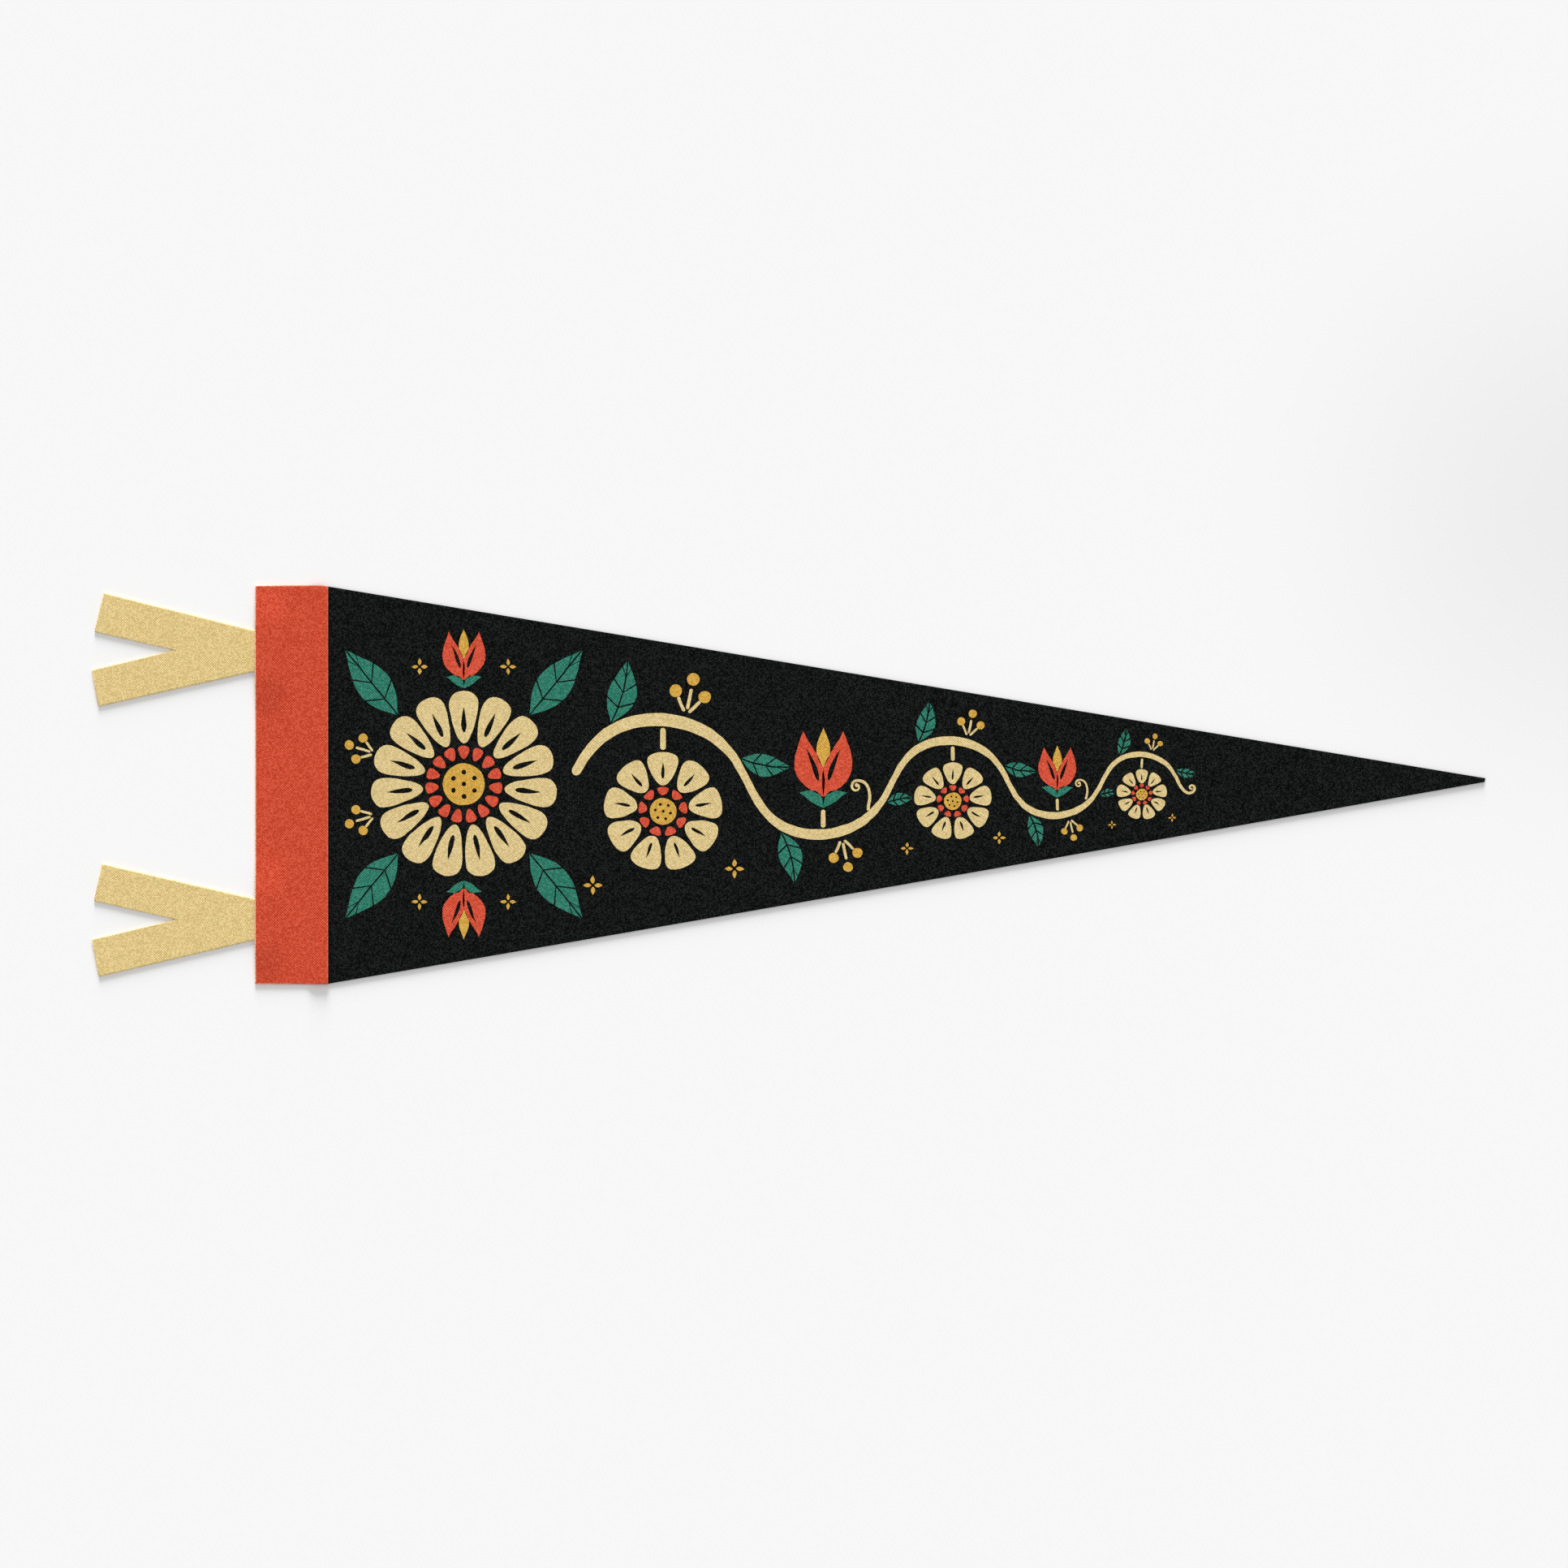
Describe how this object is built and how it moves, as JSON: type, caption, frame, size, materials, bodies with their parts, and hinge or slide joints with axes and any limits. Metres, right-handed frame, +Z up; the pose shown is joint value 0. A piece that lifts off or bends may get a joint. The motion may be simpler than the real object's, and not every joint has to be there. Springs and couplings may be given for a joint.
{
  "type": "pennant flag",
  "caption": "Long tapering felt pennant lying flat, with a contrasting heading strip at its wide end and forked ties to fasten it by.",
  "frame": {"origin": "middle of the outline seen from above, on the surface that the flag lies on", "axes": "+X from the heading towards the tip, +Y towards the upper long edge, +Z up out of the printed face"},
  "size_m": [0.7768, 0.2224, 0.0027],
  "materials": {
    "field_felt": "matt felted weave, near black, with a printed pattern in cream, teal, mustard and red-orange",
    "heading_felt": "matt felted weave, red-orange",
    "tie_felt": "matt felted weave, cream"
  },
  "bodies": {
    "root": {"field": "field_felt", "heading": "heading_felt", "tie_upper": "tie_felt", "tie_lower": "tie_felt"}
  },
  "joints": []
}
